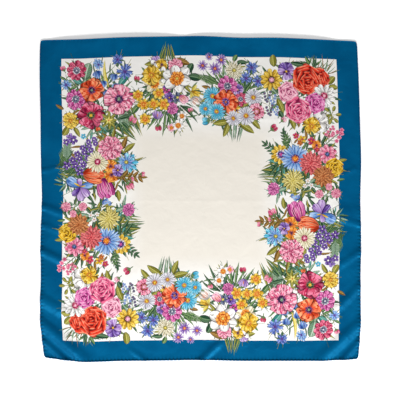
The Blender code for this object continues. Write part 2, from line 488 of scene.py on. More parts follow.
def iris(r, ink, heart):
    falls = heart[0][0] if heart else ink
    for turn, length, width, own in ((90, 0.95, 0.6, ink), (130, 0.85, 0.55, ink), (48, 0.85, 0.4, "purple"),
                                     (190, 0.85, 0.5, falls), (-28, 1.0, 0.75, falls)):
        yield petal(0, 0, turn, length * r, width * r, own, frill=0.05)
    yield petal(0, 0, -80, 0.55 * r, 0.4 * r, ink)
    yield petal(0, 0, -28, 0.5 * r, 0.13 * r, "yellow", cut="lobe")
    yield petal(0, 0, 190, 0.35 * r, 0.1 * r, "yellow", cut="lobe")


def crocus(r, ink, heart):
    for turn, share in ((42, 1.0), (-42, 1.0), (20, 1.12), (-22, 1.1), (0, 1.0)):
        yield petal(-0.5 * r, 0, turn, share * 1.3 * r, 0.6 * r, ink, cut="lobe")
    yield petal(-0.2 * r, 0, 0, 0.6 * r, 0.14 * r, "orange", cut="ray")


def bud(r, ink, heart):
    yield petal(-1.7 * r, 0, 0, 1.0 * r, 0.22 * r, "leaf", cut="line", dye="stem")
    yield petal(-0.9 * r, 0.1 * r, 12, 1.8 * r, 1.05 * r, ink, cut="lobe", arch=0.1)
    yield petal(-0.9 * r, -0.1 * r, -12, 1.7 * r, 1.05 * r, ink, cut="lobe", arch=-0.1)
    yield petal(-0.8 * r, 0, 0, 1.5 * r, 0.7 * r, ink, cut="lobe", depth=0.15)
    for turn in (42, -42, 0):
        yield petal(-0.95 * r, 0, turn, 1.05 * r, 0.34 * r, "leaf", cut="lance", dye="leaf")


def floret(r, ink, heart):
    yield from ring(5, r, 0.75 * r, ink, start=18)
    yield disc(0.24 * r, heart[0][0] if heart else "lemon")


def spike(r, ink, heart):
    """Florets up a stem, from the root at 0 to the tip at r."""
    yield petal(-0.15 * r, 0, 0, 1.1 * r, 0.04 * r, "leaf", cut="line", dye="stem")
    for k in range(15):
        along = k / 14
        reach = 0.19 * r * (1 - 0.6 * along)
        side = reach * (1, -1, 0.15)[k % 3] + dice.uniform(-0.02, 0.02) * r
        for part in ring(5, 0.105 * r * (1.15 - 0.45 * along), 0.08 * r, ink, start=40 * k):
            yield {**part, "x": part["x"] + along * r, "y": part["y"] + side}
        yield petal(along * r - 0.02 * r, side, 0, 0.04 * r, 0.04 * r, heart[0][0] if heart else "white",
                    cut="oval", dye="heart")


def spray(r, ink, heart):
    """A branching stem with small open flowers and buds."""
    yield petal(0, 0, 0, r, 0.035 * r, "leaf", cut="line", arch=2.0, dye="stem")
    for k in range(7):
        along, turn = 0.25 + 0.12 * k, (48, -44)[k % 2]
        reach = 0.3 * r * (1.15 - along)
        angle = math.radians(turn)
        yield petal(along * r, 0, turn, reach, 0.025 * r, "leaf", cut="line", dye="stem")
        fx, fy = along * r + reach * math.cos(angle), reach * math.sin(angle)
        for part in ring(5, 0.1 * r, 0.085 * r, ink, start=31 * k):
            yield {**part, "x": part["x"] + fx, "y": part["y"] + fy}
        yield petal(fx - 0.022 * r, fy, 0, 0.044 * r, 0.044 * r, "crimson", cut="oval", dye="heart")


def leaf(r, ink, heart):
    yield petal(0, 0, 0, r, 0.4 * r, ink, cut="leaf", arch=0.15, dye="leaf")


def broad_leaf(r, ink, heart):
    yield petal(0, 0, 0, r, 0.62 * r, ink, cut="lobe", arch=0.1, dye="leaf")


def blade(r, ink, heart):
    yield petal(0, 0, 0, r, 0.13 * r, ink, cut="lance", arch=1.2, dye="leaf")


def blades(r, ink, heart):
    for k in range(6):
        yield petal(0.06 * r * (k % 2), (k - 2.5) * 0.035 * r, -42 + 17 * k,
                    r * (0.8, 1.0, 0.7, 0.95, 0.85, 0.7)[k], 0.1 * r, ink, cut="lance",
                    arch=(k - 2.5) * 0.6, dye="leaf")


def sprig(r, ink, heart):
    """Paired leaflets up a stem."""
    yield petal(0, 0, 0, r, 0.03 * r, ink, cut="line", dye="stem")
    for k in range(4):
        along = 0.18 + 0.2 * k
        for turn in (48, -48):
            yield petal(along * r, 0, turn, 0.36 * r * (1.15 - 0.5 * along), 0.13 * r, ink,
                        cut="lance", dye="leaf")
    yield petal(0.86 * r, 0, 0, 0.28 * r, 0.11 * r, ink, cut="lance", dye="leaf")


def fern(r, ink, heart):
    """Needles up a stem."""
    yield petal(0, 0, 0, r, 0.03 * r, ink, cut="line", dye="stem")
    for k in range(10):
        along = 0.1 + 0.085 * k
        for turn in (38, -38):
            yield petal(along * r, 0, turn, 0.34 * r * (1.2 - 0.7 * along), 0.055 * r, ink,
                        cut="lance", dye="leaf")


def clover(r, ink, heart):
    """Oval leaves round a stalk."""
    for turn in (5, 68, 130, 190, 255, 310):
        yield petal(0, 0, turn, 0.5 * r, 0.05 * r, ink, cut="line", dye="stem")
        angle = math.radians(turn)
        yield petal(0.42 * r * math.cos(angle), 0.42 * r * math.sin(angle), turn, 0.62 * r, 0.36 * r, ink,
                    cut="lobe", dye="leaf")


def rosette(r, ink, heart):
    yield from ring(8, r, 0.38 * r, ink, cut="leaf", dye="leaf")
    yield from ring(7, 0.74 * r, 0.3 * r, ink, start=25, cut="leaf", dye="leaf")
    yield from ring(5, 0.45 * r, 0.24 * r, "lemon", start=10, cut="leaf", dye="leaf")
    yield disc(0.08 * r, "red")


def foliage(r, ink, heart):
    """A bed of mixed leaves behind the flowers."""
    other = heart[0][0] if heart else "pine"
    for k in range(17):
        angle = 2.4 * k
        root = 0.5 * r * dice.random()
        yield petal(root * math.cos(angle), root * math.sin(angle),
                    math.degrees(angle) + dice.uniform(-30, 30), r * dice.uniform(0.55, 1.0),
                    r * dice.uniform(0.13, 0.22), (ink, other, "pine")[k % 3], cut="leaf",
                    arch=dice.uniform(-0.5, 0.5), dye="leaf")


def collar(r, ink, heart):
    """The small leaves and thin stalks that a flower sits on."""
    for k in range(7):
        yield petal(0, 0, 51 * k + dice.uniform(-24, 24), r * dice.uniform(1.15, 1.6),
                    r * dice.uniform(0.2, 0.32), dice.choice((ink, "pine", "leaf", "olive")), cut="leaf",
                    arch=dice.uniform(-0.6, 0.6), dye="leaf")
    for k in range(4):
        yield petal(0, 0, 90 * k + dice.uniform(-40, 40), r * dice.uniform(1.4, 1.9), 1.1,
                    dice.choice(("pine", "olive", "leaf")), cut="line", arch=dice.uniform(-6, 6), dye="stem")


def stems(r, ink, heart):
    """The bunch's cut end: stalks and narrow leaves that run together to a point."""
    other = heart[0][0] if heart else ink
    for k in range(16):
        away = (0.5 - 0.065 * k) * (1, -1)[k % 2] * r
        turn = -0.7 * math.degrees(math.atan2(away, r))
        yield petal(dice.uniform(0, 0.2) * r, away, turn + dice.uniform(-5, 5), r * dice.uniform(0.7, 0.95),
                    0.065 * r, (ink, "pine", other)[k % 3], cut="lance", arch=dice.uniform(-0.7, 0.7),
                    dye="leaf")


def thicket(r, ink, heart):
    """The thin dark leaves that show between the flowers; a second ink makes them broader."""
    count = 54
    other, breadth = (heart[0][0], 1.7) if heart else ("leaf", 1.0)
    for k in range(count):
        angle, root = 2.4 * k, r * math.sqrt((k + 0.5) / count)
        yield petal(root * math.cos(angle), root * math.sin(angle),
                    math.degrees(angle) + dice.uniform(-70, 70), dice.uniform(20, 38),
                    breadth * dice.uniform(3.2, 5.4), ("pine", ink, other, "pine", "olive")[k % 5],
                    cut="lance", arch=dice.uniform(-1.6, 1.6), dye="leaf")


def twigs(r, ink, heart):
    """A tuft of fine straws."""
    for k in range(9):
        yield petal(dice.uniform(0, 0.15) * r, (k - 4) * 0.05 * r, (k - 4) * 9 + dice.uniform(-8, 8),
                    r * dice.uniform(0.6, 1.0), 0.05 * r, (ink, "bronze", "sage")[k % 3], cut="lance",
                    arch=dice.uniform(-2, 2), dye="leaf")


KINDS = {kind.__name__: kind for kind in (
    poppy, anemone, peony, rose, carnation, daisy, gazania, aster, dahlia, chrysanthemum, narcissus,
    trumpet, pansy, cornflower, bluebell, tulip, iris, crocus, bud, floret, spike, spray, leaf, broad_leaf,
    blade, blades, sprig, fern, clover, rosette, foliage, collar, stems, thicket, twigs)}

# Six bunches, each printed twice: once where the table says, once half a turn round the scarf.
# Millimetres from the bunch's own middle; size is a flower's radius or a leaf's length. The last
# column, the ink or the kind of its heart, or a second ink, may be left out.
BLOOM_COLUMNS = ("kind", "x", "y", "size", "turn", "ink", "heart")
BUNCHES = {
    "anemones": ((-280, 285), (
        ("stems", 40, -48, 98, -50, "olive", "leaf"),
        ("fern", 42, -60, 52, -20, "sage"),
        ("foliage", 45, -62, 44, 0, "sage", "pine"),
        ("foliage", -18, -74, 46, 0, "sage", "teal"),
        ("foliage", 8, -86, 34, 0, "sage", "leaf"),
        ("foliage", -58, 28, 40, 0, "leaf", "sage"),
        ("foliage", 14, 30, 40, 0, "leaf", "pine"),
        ("foliage", -45, -30, 46, 0, "pine", "bronze"),
        ("broad_leaf", -42, 52, 48, 75, "sage"),
        ("leaf", -50, 40, 46, 140, "teal"),
        ("leaf", 52, 30, 48, 48, "teal"),
        ("leaf", 88, -48, 40, 50, "leaf"),
        ("leaf", -96, 52, 20, 150, "leaf"),
        ("blade", 24, 28, 78, 97, "lemon"),
        ("bud", -104, 84, 9, 120, "pink"),
        ("bluebell", -8, 68, 17, -75, "blue"),
        ("floret", -8, 98, 12, 20, "sky", "rust"),
        ("bluebell", 40, 58, 15, -100, "blue"),
        ("bluebell", 44, 32, 14, -90, "sky"),
        ("bluebell", 8, 40, 15, -80, "blue"),
        ("cornflower", -4, 92, 14, 0, "sky"),
        ("bluebell", 16, 14, 14, -60, "blue"),
        ("cornflower", 50, 104, 17, 0, "blue"),
        ("broad_leaf", 50, 96, 13, -95, "pine"),
        ("cornflower", 70, 70, 21, 30, "blue"),
        ("cornflower", -96, 38, 16, 10, "sky"),
        ("leaf", -84, 26, 22, 20, "leaf"),
        ("anemone", -66, 78, 29, 0, "crimson", "ringed"),
        ("anemone", -70, -2, 30, 20, "magenta", "ringed"),
        ("poppy", -24, 22, 32, 10, "coral", "dark"),
        ("peony", 52, -6, 42, 0, "pink", "dark"),
        ("poppy", -28, -48, 35, 40, "crimson", "eye"),
        ("rosette", 22, -64, 26, 0, "olive"),
        ("leaf", -104, -30, 26, 150, "bronze"),
        ("broad_leaf", -92, -78, 30, 240, "olive"),
        ("leaf", -76, -80, 32, -60, "olive"),
        ("carnation", -86, -62, 22, 0, "yellow", "gold"),
        ("bud", -8, -88, 8, 100, "coral"),
        ("bud", 89, -66, 14, 60, "pink"),
    )),
    "narcissi": ((-91, 288), (
        ("stems", 2, 88, 54, 90, "leaf", "olive"),
        ("leaf", -18, 92, 46, 188, "olive"),
        ("leaf", 16, 96, 52, -14, "bronze"),
        ("blades", 30, -30, 84, -72, "pine"),
        ("blades", -6, -42, 74, -108, "leaf"),
        ("foliage", -40, 18, 46, 0, "pine", "leaf"),
        ("foliage", 18, -12, 46, 0, "pine", "slate"),
        ("foliage", 4, 62, 40, 0, "pine", "olive"),
        ("broad_leaf", 58, 58, 32, 62, "pine"),
        ("broad_leaf", 60, 50, 36, -10, "pine"),
        ("pansy", -30, 92, 17, 10, "lilac", "white"),
        ("poppy", -14, 84, 15, 0, "yellow"),
        ("carnation", 24, 82, 20, 0, "pink"),
        ("narcissus", -36, 32, 30, 20, "cream", "gold"),
        ("narcissus", -10, 56, 24, 0, "white", "pollen"),
        ("poppy", -44, 56, 26, 30, "yellow", "gold"),
        ("bud", -85, 46, 10, 85, "crimson"),
        ("pansy", -3, 14, 14, 0, "purple", "magenta"),
        ("floret", 28, -8, 16, 0, "slate"),
        ("pansy", 5, -8, 15, 20, "purple"),
        ("narcissus", 28, 45, 41, 12, "white", "gold"),
        ("trumpet", 68, 8, 24, -20, "yellow"),
        ("tulip", 66, -10, 36, -35, "white"),
        ("tulip", 34, -4, 28, -40, "pale_pink"),
        ("narcissus", -83, 0, 17, 0, "yellow", "gold"),
        ("narcissus", -25, 4, 17, 20, "yellow", "gold"),
        ("narcissus", -68, -25, 18, 40, "yellow", "gold"),
        ("narcissus", -40, -25, 17, 10, "yellow", "gold"),
        ("carnation", 12, -38, 18, 0, "magenta"),
        ("narcissus", -12, -26, 18, 30, "yellow", "gold"),
        ("narcissus", -65, -66, 18, 0, "yellow", "gold"),
        ("crocus", -30, -58, 17, 80, "lilac"),
        ("bud", -28, -91, 11, -80, "crimson"),
        ("narcissus", 39, -60, 15, 0, "white", "gold"),
        ("narcissus", 9, -92, 12, 0, "pale_pink", "gold"),
        ("narcissus", 28, -86, 17, 20, "white", "gold"),
        ("bud", 64, -44, 9, 110, "pink"),
    )),
    "daisies": ((91, 285), (
        ("stems", 2, -62, 62, -90, "sage", "white"),
        ("fern", -40, 34, 58, 160, "leaf"),
        ("blades", -30, 34, 66, 110, "leaf"),
        ("blades", 0, 40, 56, 90, "sage"),
        ("blades", 38, 18, 60, 62, "leaf"),
        ("blade", 48, 22, 40, 12, "leaf"),
        ("foliage", -30, -4, 44, 0, "pine", "leaf"),
        ("foliage", 34, 8, 44, 0, "pine", "leaf"),
        ("foliage", 16, -42, 42, 0, "olive", "leaf"),
        ("foliage", -30, -50, 34, 0, "olive", "teal"),
        ("leaf", -12, -74, 42, -112, "olive"),
        ("leaf", -12, -68, 46, 192, "olive"),
        ("leaf", 20, -74, 48, -34, "olive"),
        ("leaf", 52, -62, 38, -48, "olive"),
        ("broad_leaf", 6, 98, 22, 60, "leaf"),
        ("leaf", 14, 96, 34, 0, "pine"),
        ("aster", -81, 83, 17, 0, "lilac", "peach"),
        ("aster", -62, 108, 12, 0, "lilac", "peach"),
        ("aster", -28, 101, 18, 0, "lilac", "peach"),
        ("aster", -46, 76, 20, 20, "lilac", "peach"),
        ("chrysanthemum", 8, 74, 27, 0, "cream", "pollen"),
        ("cornflower", 58, 82, 19, 0, "blue"),
        ("cornflower", 41, 52, 18, 40, "blue"),
        ("cornflower", 74, 44, 18, 80, "blue"),
        ("broad_leaf", 56, 76, 12, -90, "pine"),
        ("broad_leaf", 38, 46, 13, -95, "pine"),
        ("broad_leaf", 64, 38, 12, -110, "pine"),
        ("leaf", -60, 22, 26, 170, "bronze"),
        ("broad_leaf", -62, 40, 13, 190, "leaf"),
        ("pansy", 17, 20, 17, -20, "purple", "lilac"),
        ("anemone", -12, 29, 29, 15, "magenta", "ringed"),
        ("anemone", 24, -6, 20, 0, "crimson", "ringed"),
        ("daisy", -55, -1, 27, 0, "cyan", "gold"),
        ("daisy", 60, -1, 26, 0, "greyed", "gold"),
        ("poppy", 12, -38, 13, 0, "yellow"),
        ("poppy", -18, -15, 31, 25, "coral", "star"),
        ("daisy", -76, -37, 20, 0, "cyan", "gold"),
        ("daisy", -45, -43, 25, 10, "cyan", "gold"),
        ("bud", -76, -71, 13, 190, "cyan"),
        ("carnation", 68, -40, 22, 0, "pink", "zinnia"),
        ("daisy", 2, -60, 23, 0, "greyed", "gold"),
        ("daisy", 38, -52, 27, 10, "greyed", "gold"),
    )),
    "roses": ((288, 285), (
        ("twigs", 42, 74, 52, 72, "pine"),
        ("twigs", 68, 72, 50, 60, "leaf"),
        ("foliage", 30, 84, 32, 0, "leaf", "pine"),
        ("foliage", -52, -8, 44, 0, "leaf", "sage"),
        ("foliage", -2, 2, 40, 0, "pine", "leaf"),
        ("foliage", 48, -56, 34, 0, "sage", "white"),
        ("broad_leaf", -76, 84, 34, 94, "olive"),
        ("leaf", 8, 92, 38, 172, "pine"),
        ("leaf", 26, 94, 26, 120, "leaf"),
        ("broad_leaf", 74, 40, 30, 48, "olive"),
        ("broad_leaf", 76, 34, 26, -8, "olive"),
        ("leaf", -70, -4, 46, -68, "olive"),
        ("spray", -96, 34, 46, -95, "slate"),
        ("spray", -86, 22, 44, -84, "sky"),
        ("spray", -94, -4, 46, -88, "slate"),
        ("spray", -82, -14, 38, -74, "sky"),
        ("leaf", -34, -52, 40, -74, "olive"),
        ("leaf", -14, -56, 28, -84, "bronze"),
        ("clover", 82, -46, 27, 0, "olive"),
        ("sprig", 50, -44, 40, -20, "olive"),
        ("bud", -62, -46, 9, 60, "pale_pink"),
        ("bud", -53, -62, 10, 40, "pale_pink"),
        ("broad_leaf", -66, -38, 22, -60, "pine"),
        ("gazania", -84, 48, 31, 0, "yellow", "tawny"),
        ("pansy", -42, 72, 27, 10, "purple", "lilac"),
        ("rose", -38, 14, 28, 20, "pale_pink"),
        ("rose", 46, 54, 31, -20, "red"),
        ("rose", 14, 52, 40, 0, "red"),
        ("poppy", 38, -68, 34, 0, "white"),
        ("gazania", 63, 8, 33, 10, "white", "ruby"),
        ("rose", 36, -14, 29, 50, "orchid"),
        ("rose", -12, -35, 35, 10, "pink"),
        ("poppy", 25, -78, 24, 15, "yellow", "gold"),
        ("bud", -81, -86, 12, 35, "crimson"),
    )),
    "dahlias": ((285, 103), (
        ("stems", -44, -22, 78, 186, "leaf", "olive"),
        ("blades", -50, -20, 40, 120, "pine"),
        ("sprig", -66, 20, 56, 140, "pine"),
        ("sprig", -42, 44, 46, 104, "pine"),
        ("sprig", -50, 40, 40, 78, "leaf"),
        ("foliage", -58, -30, 46, 0, "olive", "pine"),
        ("foliage", -60, 0, 44, 0, "pine", "teal"),
        ("foliage", -64, -70, 34, 0, "sage", "teal"),
        ("foliage", 14, -58, 46, 0, "olive", "sage"),
        ("foliage", -4, -82, 34, 0, "olive", "pine"),
        ("foliage", 42, 44, 36, 0, "pine", "olive"),
        ("foliage", 78, -44, 40, 0, "olive", "leaf"),
        ("foliage", 72, -84, 26, 0, "leaf", "sage"),
        ("blade", 54, 50, 62, 55, "pine"),
        ("spray", 62, 48, 68, 40, "pink"),
        ("spray", 66, 58, 50, 62, "pink"),
        ("leaf", 96, 4, 30, 15, "olive"),
        ("floret", -17, 75, 10, 0, "crimson", "gold"),
        ("floret", 0, 66, 12, 20, "yellow", "ruby"),
        ("floret", -6, 56, 9, 40, "rust", "gold"),
        ("floret", 26, 62, 12, 0, "crimson", "gold"),
        ("poppy", 40, 50, 13, 0, "orange"),
        ("floret", 42, 38, 9, 0, "crimson", "gold"),
        ("gazania", -60, 22, 28, 0, "yellow", "banded"),
        ("daisy", -20, 11, 40, 0, "sky", "sunset"),
        ("anemone", 70, 26, 27, 10, "pink", "ink_blue"),
        ("dahlia", 23, 0, 34, 0, "scarlet"),
        ("rose", 90, -11, 25, 0, "yellow"),
        ("dahlia", 59, -36, 31, 12, "rust"),
        ("floret", 16, -50, 8, 0, "white", "gold"),
        ("floret", 26, -62, 7, 30, "white", "gold"),
        ("floret", 8, -64, 7, 50, "white", "gold"),
        ("chrysanthemum", -26, -50, 33, 0, "lemon"),
        ("carnation", -80, -74, 19, 0, "magenta"),
        ("broad_leaf", -66, -80, 20, 20, "sage"),
        ("crocus", -10, -98, 9, 150, "blue"),
        ("crocus", -28, -94, 8, 20, "sky"),
        ("carnation", 49, -86, 12, 0, "pink"),
        ("carnation", 76, -66, 10, 0, "pink"),
        ("carnation", 96, -84, 15, 0, "pink"),
    )),
    "tulips": ((280, -89), (
        ("stems", 60, 20, 70, -10, "leaf", "olive"),
        ("stems", 70, -26, 62, 34, "pine", "leaf"),
        ("fern", 118, 2, 66, -122, "pine"),
        ("fern", 112, -10, 74, -108, "leaf"),
        ("fern", 98, -22, 60, -92, "sage"),
        ("foliage", 100, 42, 30, 0, "teal", "sage"),
        ("foliage", -30, -18, 44, 0, "leaf", "olive"),
        ("foliage", 40, -14, 44, 0, "pine", "leaf"),
        ("foliage", -58, 30, 34, 0, "olive", "bronze"),
        ("foliage", 24, 44, 44, 0, "olive", "pine"),
        ("foliage", -30, -70, 40, 0, "olive", "bronze"),
        ("blade", 20, 40, 46, -8, "olive"),
        ("blade", 60, 34, 60, -22, "olive"),
        ("leaf", -44, 62, 34, 98, "olive"),
        ("leaf", -64, -42, 40, 218, "olive"),
        ("leaf", -60, -50, 38, 250, "bronze"),
        ("leaf", 14, -42, 52, 242, "olive"),
        ("sprig", -46, 26, 74, 178, "bronze"),
        ("bud", -78, 52, 14, 120, "pink"),
        ("bud", -86, 34, 7, 200, "pink"),
        ("bud", -116, 20, 8, 180, "pink"),
        ("spike", 80, 4, 104, 235, "purple", "white"),
        ("floret", 86, -86, 14, 30, "violet", "white"),
        ("floret", 98, -74, 11, 10, "purple", "white"),
        ("floret", 78, -80, 13, 0, "purple", "white"),
        ("floret", 50, -90, 9, 0, "cyan", "white"),
        ("iris", 60, 50, 42, 0, "lilac", "sky"),
        ("tulip", 0, 28, 58, 108, "magenta"),
        ("poppy", -28, 20, 20, 0, "orange"),
        ("poppy", -26, -4, 18, 40, "orange"),
        ("cornflower", -76, -12, 29, 0, "cyan"),
        ("aster", -70, -14, 26, 20, "sky", "pollen"),
        ("pansy", -46, 8, 18, 0, "purple", "lilac"),
        ("tulip", 52, 14, 58, 172, "coral"),
        ("daisy", 11, -18, 31, 0, "cream", "ruby"),
        ("carnation", -26, -55, 36, 0, "pink"),
        ("crocus", -10, 92, 10, 160, "sky"),
    )),
}

BLOOMS = ("poppy", "anemone", "peony", "rose", "carnation", "daisy", "gazania", "dahlia", "chrysanthemum",
          "narcissus", "pansy", "cornflower", "iris")
COLLAR_FROM = 14  # a smaller flower has no collar of leaves
THICKET_RADIUS = 82
DENSE = ("dahlias", "tulips")
drawn = []
for name, ((centre_x, centre_y), rows) in BUNCHES.items():
    bunch = []
    collars = [("collar", *row[1:5], "pine") for row in rows if row[0] in BLOOMS and row[3] > COLLAR_FROM]
    undergrowth = ("thicket", 0, 0, THICKET_RADIUS, 0, "pine", "bronze" if name in DENSE else "")
    for row in (undergrowth, *collars, *rows):
        bloom = dict(zip(BLOOM_COLUMNS, row))
        turn = math.radians(bloom["turn"])
        heart = bloom.get("heart")
        heart = HEARTS.get(heart, ((heart, 0.25),)) if heart else ()
        for part in KINDS[bloom["kind"]](bloom["size"], bloom["ink"], heart):
            x, y = part["x"], part["y"]
            part["x"] = centre_x + bloom["x"] + x * math.cos(turn) - y * math.sin(turn)
            part["y"] = centre_y + bloom["y"] + x * math.sin(turn) + y * math.cos(turn)
            part["turn"] += bloom["turn"]
            bunch.append(part)
    drawn += bunch
    drawn += [{**part, "x": -part["x"], "y": -part["y"], "turn": part["turn"] + 180} for part in bunch]
for part in drawn:
    part["alpha"], part["gamma"] = CUTS[part["cut"]]
    total = part["alpha"] + part["gamma"]
    tip = part["alpha"] / total if total else 0.5
    part["peak"] = tip ** part["alpha"] * (1 - tip) ** part["gamma"]
    part["seed"] = dice.random()


# ---------------------------------------------------------------------------------------------
# The panel: the silk with its print. Every dye's visible outline is cut into the cloth's mesh, so
# that the drawing stays sharp at any distance, and each face keeps its ink and its place on its petal.

PANEL_REACH = HEM_LINE - 0.7  # the cloth's edge goes into the roll of the hem
FIELD = ((-389, 389), (-393, 396))  # the ivory field inside the blue border: left and right, front and back
BEND_STEP = 6.0  # the cloth can bend this often in the border, and half as often in the field
BEND_BORDER = 335
CREASE_STEP = 12.0
OUTLINE_SIZES = (5, 9, 14, 20, 28, 38)  # a shape's outline has one more step for each size that it passes
FACE_DETAIL = (1.2, 0.2)  # the least patch in mm2, and how far in mm an outline may stray
BACK_DETAIL = (30.0, 1.2)
WELD = 1e-4  # points nearer than this in mm are one


def outline(part):
    """A shape's outline on the flat cloth in mm, anticlockwise from its root."""
    steps = 3 + sum(max(part["length"], part["width"]) > size for size in OUTLINE_SIZES)
    if part["cut"] == "line":
        along = np.linspace(0, 1, steps)
        wide = np.ones(steps)
        u, v = np.r_[along, along[::-1]], np.r_[-wide, wide]
    else:
        along = (1 - np.cos(np.pi * np.arange(1, steps) / steps)) / 2
        wide = along ** part["alpha"] * (1 - along) ** part["gamma"] / part["peak"]
        frilled = 1 + part["frill"] * (-1) ** np.arange(1, steps) * (along > 0.4)
        u = np.r_[0, along * frilled, 1, (along * frilled)[::-1]]
        v = np.r_[0, -wide * frilled, 0, wide[::-1]]
    v = v + part["arch"] * 4 * u * (1 - u)
    x, y = u * part["length"], v * part["width"] / 2
    angle = math.radians(part["turn"])
    return (part["x"] + x * math.cos(angle) - y * math.sin(angle),
            part["y"] + x * math.sin(angle) + y * math.cos(angle))


def rectangle(left, right, front, back):
    """Its corners, anticlockwise."""
    return [left, right, right, left], [front, front, back, back]


# Everything drawn, one shape over another, cut where outlines cross: in each triangle the last shape shows.
points, shapes = [], []
(left, right), (front, back) = FIELD
for x, y in [rectangle(-PANEL_REACH, PANEL_REACH, -PANEL_REACH, PANEL_REACH),
             rectangle(left, right, front, back), *map(outline, drawn)]:
    shapes.append(list(range(len(points), len(points) + len(x))))
    points.extend(Vector(pair) for pair in zip(x, y))
points, _, shards, _, _, shard_shapes = delaunay_2d_cdt(points, [], shapes, 0, WELD, True)
shard_points = np.array([tuple(point) for point in points])
shards = np.array(shards)
shard_ink = np.array([max(found, default=0) for found in shard_shapes])
printed = BVHTree.FromPolygons([(x, y, 0) for x, y in shard_points], shards.tolist())


def edge_pairs(triangles):
    """Each inner edge of a triangle mesh: its two points and the two triangles beside it."""
    ends = np.sort(np.concatenate([triangles[:, [0, 1]], triangles[:, [1, 2]], triangles[:, [2, 0]]]), axis=1)
    owner = np.tile(np.arange(len(triangles)), 3)
    order = np.lexsort(ends.T)
    ends, owner = ends[order], owner[order]
    twin = np.flatnonzero((ends[:-1] == ends[1:]).all(1))
    return ends[twin], owner[twin], owner[twin + 1]


def settle(ink, least_area):
    """Gives each patch of one ink that is too small to print the ink that it borders most."""
    corner = shard_points[shards]
    side_a, side_b = corner[:, 1] - corner[:, 0], corner[:, 2] - corner[:, 0]
    area = np.abs(side_a[:, 0] * side_b[:, 1] - side_a[:, 1] * side_b[:, 0]) / 2
    ends, one, other = edge_pairs(shards)
    reach = np.linalg.norm(shard_points[ends[:, 0]] - shard_points[ends[:, 1]], axis=1)
    patch = list(range(len(ink)))

    def head(i):
        while patch[i] != i:
            patch[i] = patch[patch[i]]
            i = patch[i]
        return i

    same = ink[one] == ink[other]
    for a, b in zip(one[same].tolist(), other[same].tolist()):
        patch[head(a)] = head(b)
    heads = np.array([head(i) for i in range(len(ink))])
    patch_area = np.bincount(heads, area, len(ink))
    small = patch_area < least_area
    borders = {}
    across = (heads[one[~same]].tolist(), heads[other[~same]].tolist(), reach[~same].tolist())
    for a, b, length in zip(*across):
        for mine, yours in ((a, b), (b, a)):
            if small[mine]:
                tally = borders.setdefault(mine, {})
                tally[yours] = tally.get(yours, 0) + length * (0.2 if small[yours] else 1)
    new_ink = ink[np.arange(len(ink))].copy()
    for mine, tally in borders.items():
        new_ink[mine] = ink[max(tally, key=tally.get)]
    return new_ink[heads]


def thinned(chain, places, tolerance):
    """A line of points with those left out that it passes within the tolerance."""
    keep, spans = {0, len(chain) - 1}, [(0, len(chain) - 1)]
    while spans:
        a, b = spans.pop()
        if b - a < 2:
            continue
        along = places[chain[b]] - places[chain[a]]
        off = places[chain[a + 1 : b]] - places[chain[a]]
        length = math.hypot(*along)
        far = np.hypot(*off.T)
        if length > 1e-6:
            far = np.abs(off[:, 0] * along[1] - off[:, 1] * along[0]) / length
        k = int(far.argmax())
        if far[k] > tolerance:
            keep.add(a + 1 + k)
            spans += [(a, a + 1 + k), (a + 1 + k, b)]
    return [chain[k] for k in sorted(keep)]


def visible_lines(ink, tolerance):
    """The lines where two inks meet, as points and pairs of points, with few points on each."""
    ends, one, other = edge_pairs(shards)
    beside = {}
    for a, b in ends[ink[one] != ink[other]].tolist():
        beside.setdefault(a, []).append(b)
        beside.setdefault(b, []).append(a)
    crossings = [point for point, near in beside.items() if len(near) != 2]
    used, chains = set(), []
    for start in crossings + list(beside):
        for following in beside[start]:
            if (start, following) in used or (following, start) in used:
                continue
            chain = [start, following]
            used.add((start, following))
            while len(beside[chain[-1]]) == 2 and chain[-1] != start:
                a, b = beside[chain[-1]]
                chain.append(a if b == chain[-2] else b)
                used.add((chain[-2], chain[-1]))
            chains.append(chain)
    number, lines = {}, []
    for chain in chains:
        chain = thinned(chain, shard_points, tolerance)
        for a, b in zip(chain, chain[1:]):
            lines.append((number.setdefault(a, len(number)), number.setdefault(b, len(number))))
    return [Vector(shard_points[point]) for point in number], lines


# Points between the lines let the cloth bend at its folds, creases and puckered edges.
bends = []
steps = 4 * STITCHES
for inset in (0.0, 3.5, 8.0):
    reach = PANEL_REACH - inset
    edge = [(reach * (2 * k / steps - 1), side) for k in range(steps + 1) for side in (-reach, reach)]
    bends += edge + [(y, x) for x, y in edge if abs(x) < reach - 0.1]
for crease in CREASES:
    along_x, along_y = crease["x2"] - crease["x1"], crease["y2"] - crease["y1"]
    length = math.hypot(along_x, along_y)
    for share in np.linspace(0, 1, int(length / CREASE_STEP)):
        for across in (-1, -0.5, 0, 0.5, 1):
            off = across * crease["half_width"] / length
            bends.append((crease["x1"] + share * along_x - off * along_y,
                          crease["y1"] + share * along_y + off * along_x))
count = int(PANEL_REACH / BEND_STEP)
for i in range(-count, count + 1):
    for j in range(-count, count + 1):
        x, y = (i + 0.5 * (j % 2)) * BEND_STEP, j * BEND_STEP
        if max(abs(x), abs(y)) > BEND_BORDER or (i % 2 == 0 and j % 2 == 0):
            bends.append((x, y))


def cut(least_area, tolerance):
    """The flat square cut into triangles of one ink each: points, triangles and their inks."""
    points, lines = visible_lines(settle(settle(shard_ink, least_area), least_area), tolerance)
    taken = {(round(p.x / 2), round(p.y / 2)) for p in points}
    for x, y in bends:
        place = (round(x / 2), round(y / 2))
        if max(abs(x), abs(y)) <= PANEL_REACH and place not in taken:
            taken.add(place)
            points.append(Vector((x, y)))
    points, _, faces, _, _, _ = delaunay_2d_cdt(points, lines, [], 0, WELD, True)
    flat, faces = np.array([tuple(point) for point in points]), np.array(faces)
    down = Vector((0, 0, -1))
    ink = [shard_ink[printed.ray_cast(Vector((x, y, 1)), down)[2] or 0] for x, y in flat[faces].mean(1)]
    return flat, faces, np.array(ink)


